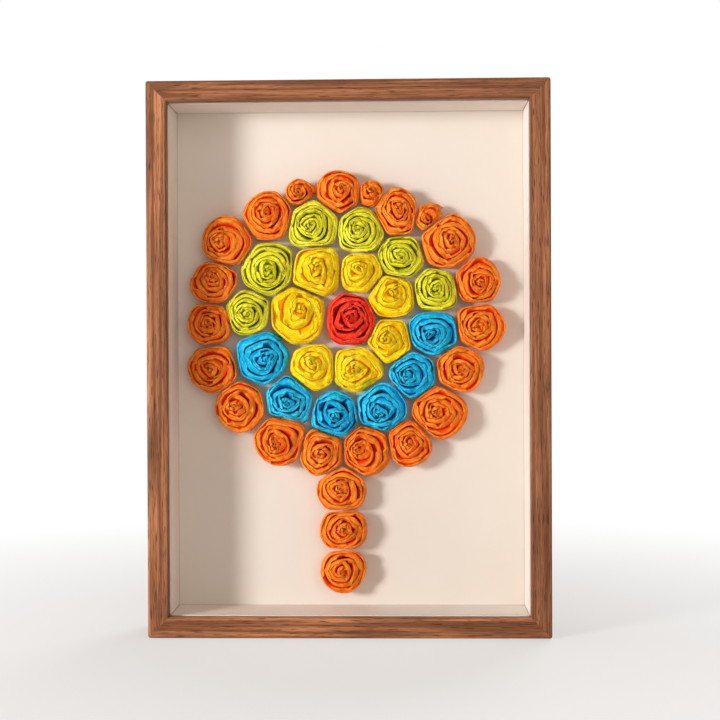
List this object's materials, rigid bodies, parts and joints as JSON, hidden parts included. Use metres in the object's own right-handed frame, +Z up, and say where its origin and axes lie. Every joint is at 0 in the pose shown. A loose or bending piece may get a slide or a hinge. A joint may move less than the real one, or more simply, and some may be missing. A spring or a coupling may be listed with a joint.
{
  "type": "framed paper rose art",
  "caption": "Shadow-box picture frame with rolled crepe-paper roses glued to its board as a round flower tree on a stem.",
  "frame": {"origin": "middle of the base, under the middle of the frame's depth", "axes": "+Z up the frame, the picture faces -Y, +X to the viewer's right"},
  "size_m": [0.2286, 0.044, 0.3156],
  "materials": {
    "walnut": "satin walnut with dark streaks along the grain",
    "clear_acrylic": "clear and glossy",
    "white_foam_strip": "matt off-white",
    "cream_board": "matt cream white",
    "fibreboard": "matt pressed fibreboard",
    "steel": "plain bright steel",
    "orange_crepe": "matt crepe paper",
    "green_crepe": "matt crepe paper",
    "blue_crepe": "matt crepe paper",
    "yellow_crepe": "matt crepe paper",
    "red_crepe": "matt crepe paper"
  },
  "bodies": {
    "root": {"back_panel": "fibreboard", "corner_v_nails": "steel", "frame_rail_bottom": "walnut", "frame_rail_left": "walnut", "frame_rail_right": "walnut", "frame_rail_top": "walnut", "front_pane": "clear_acrylic", "hanger_rivets": "steel", "mount_board": "cream_board", "retaining_tabs": "steel", "rose_blue_01": "blue_crepe", "rose_blue_02": "blue_crepe", "rose_blue_03": "blue_crepe", "rose_blue_04": "blue_crepe", "rose_blue_05": "blue_crepe", "rose_blue_06": "blue_crepe", "rose_green_01": "green_crepe", "rose_green_02": "green_crepe", "rose_green_03": "green_crepe", "rose_green_04": "green_crepe", "rose_green_05": "green_crepe", "rose_green_06": "green_crepe", "rose_orange_01": "orange_crepe", "rose_orange_02": "orange_crepe", "rose_orange_03": "orange_crepe", "rose_orange_04": "orange_crepe", "rose_orange_05": "orange_crepe", "rose_orange_06": "orange_crepe", "rose_orange_07": "orange_crepe", "rose_orange_08": "orange_crepe", "rose_orange_09": "orange_crepe", "rose_orange_10": "orange_crepe", "rose_orange_11": "orange_crepe", "rose_orange_12": "orange_crepe", "rose_orange_13": "orange_crepe", "rose_orange_14": "orange_crepe", "rose_orange_15": "orange_crepe", "rose_orange_16": "orange_crepe", "rose_orange_17": "orange_crepe", "rose_orange_18": "orange_crepe", "rose_orange_19": "orange_crepe", "rose_orange_20": "orange_crepe", "rose_red_01": "red_crepe", "rose_stem_01": "orange_crepe", "rose_stem_02": "orange_crepe", "rose_stem_03": "orange_crepe", "rose_yellow_01": "yellow_crepe", "rose_yellow_02": "yellow_crepe", "rose_yellow_03": "yellow_crepe", "rose_yellow_04": "yellow_crepe", "rose_yellow_05": "yellow_crepe", "rose_yellow_06": "yellow_crepe", "rose_yellow_07": "yellow_crepe", "sawtooth_hanger": "steel", "spacer_bottom": "white_foam_strip", "spacer_left": "white_foam_strip", "spacer_right": "white_foam_strip", "spacer_top": "white_foam_strip"}
  },
  "joints": []
}
